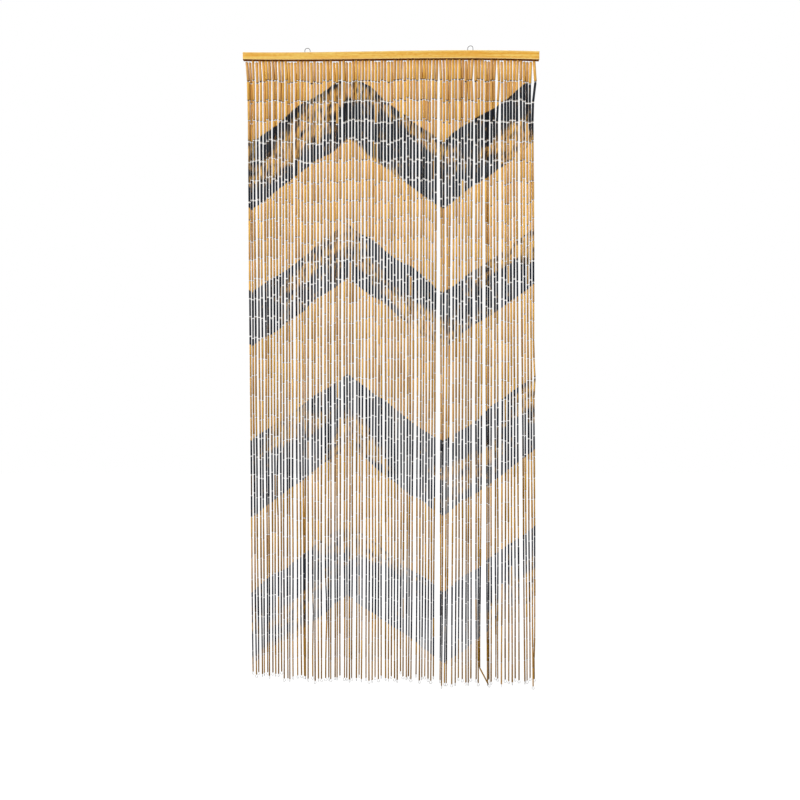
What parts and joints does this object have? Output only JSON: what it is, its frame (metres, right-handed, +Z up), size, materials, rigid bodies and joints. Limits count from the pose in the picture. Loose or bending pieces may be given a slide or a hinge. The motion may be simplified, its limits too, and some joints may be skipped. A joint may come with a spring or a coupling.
{
  "type": "bamboo bead door curtain on a wooden hanging bar",
  "caption": "Door curtain of strands of slim bamboo beads linked by wire, hung from a wooden bar with wire loops; brushed charcoal zigzags cross it.",
  "frame": {"origin": "midway between the seats of the two wire loops, where two nails in the wall carry the curtain, in the plane of the loops", "axes": "+Z up; +X to the right of a person facing the curtain's front; the front faces -Y and the wall is towards +Y"},
  "size_m": [0.927, 0.0245, 2.0248],
  "materials": {
    "varnished_wood": "clear golden varnish, satin",
    "bamboo": "natural bamboo, satin, part brushed with matt charcoal paint",
    "steel_wire": "dark drawn wire, slightly dull"
  },
  "bodies": {
    "root": {"bar": "varnished_wood", "loop_left": "steel_wire", "loop_right": "steel_wire", "strand_comb": "bamboo"}
  },
  "joints": []
}
